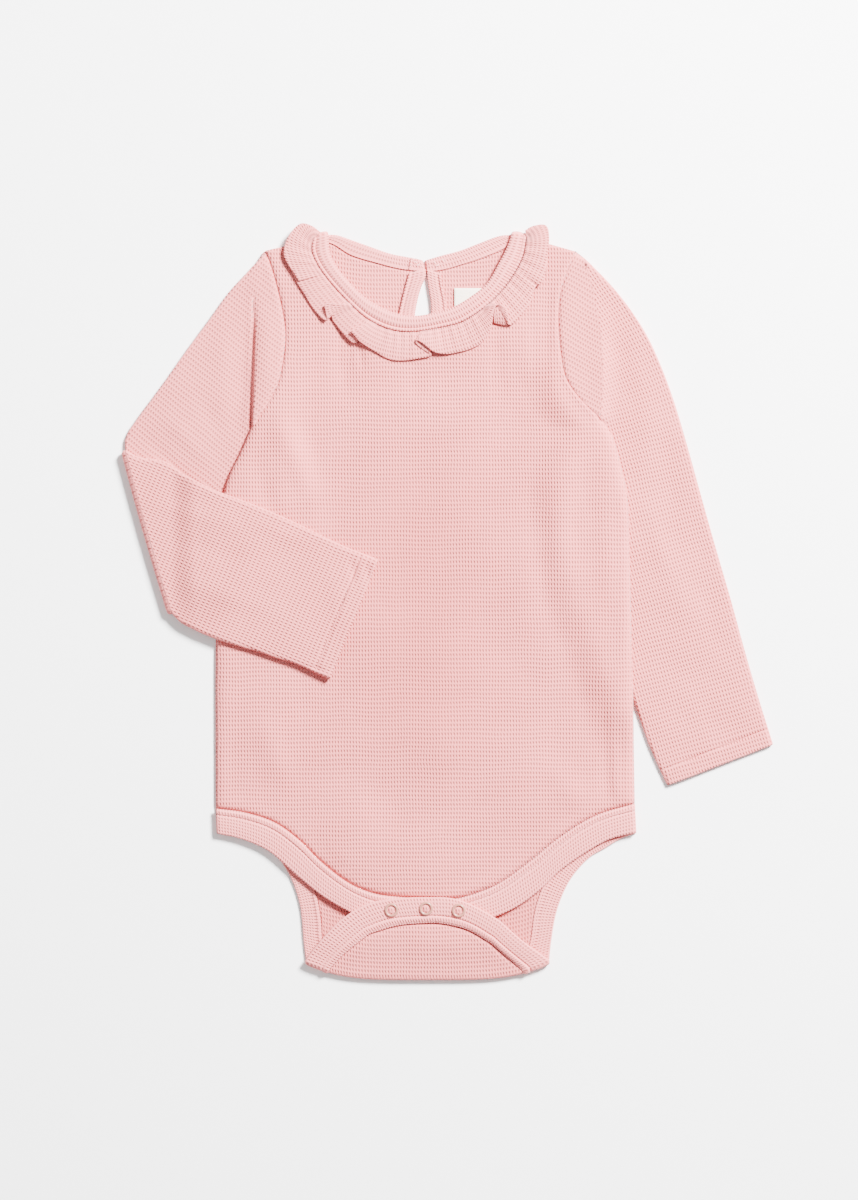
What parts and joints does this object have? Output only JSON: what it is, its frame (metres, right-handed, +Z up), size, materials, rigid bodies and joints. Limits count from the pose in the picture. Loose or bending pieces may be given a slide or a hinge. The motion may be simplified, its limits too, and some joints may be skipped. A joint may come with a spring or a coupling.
{
  "type": "baby onesie",
  "caption": "Long-sleeved baby onesie in waffle knit laid flat, with a ruffled neck, a keyhole back and a snapped crotch flap.",
  "frame": {"origin": "centre of the laid garment's outline, on the surface that it lies on", "axes": "+X across the garment to the right as seen from above, +Y towards the neck, +Z up from the surface"},
  "size_m": [0.3903, 0.453, 0.0104],
  "materials": {
    "waffle_knit": "matt waffle knit",
    "band_knit": "matt knit, turned double",
    "ruffle_knit": "matt waffle knit, one layer",
    "label_cloth": "smooth satin ribbon",
    "snap_plastic": "satin"
  },
  "bodies": {
    "root": {"back_panel": "waffle_knit", "front_panel": "waffle_knit", "left_sleeve": "waffle_knit", "right_sleeve": "waffle_knit", "neckband": "band_knit", "neck_ruffle": "ruffle_knit", "keyhole_binding": "band_knit", "neck_label": "label_cloth", "front_leg_band": "band_knit", "back_leg_band": "band_knit", "snap_left": "snap_plastic", "snap_middle": "snap_plastic", "snap_right": "snap_plastic"}
  },
  "joints": []
}
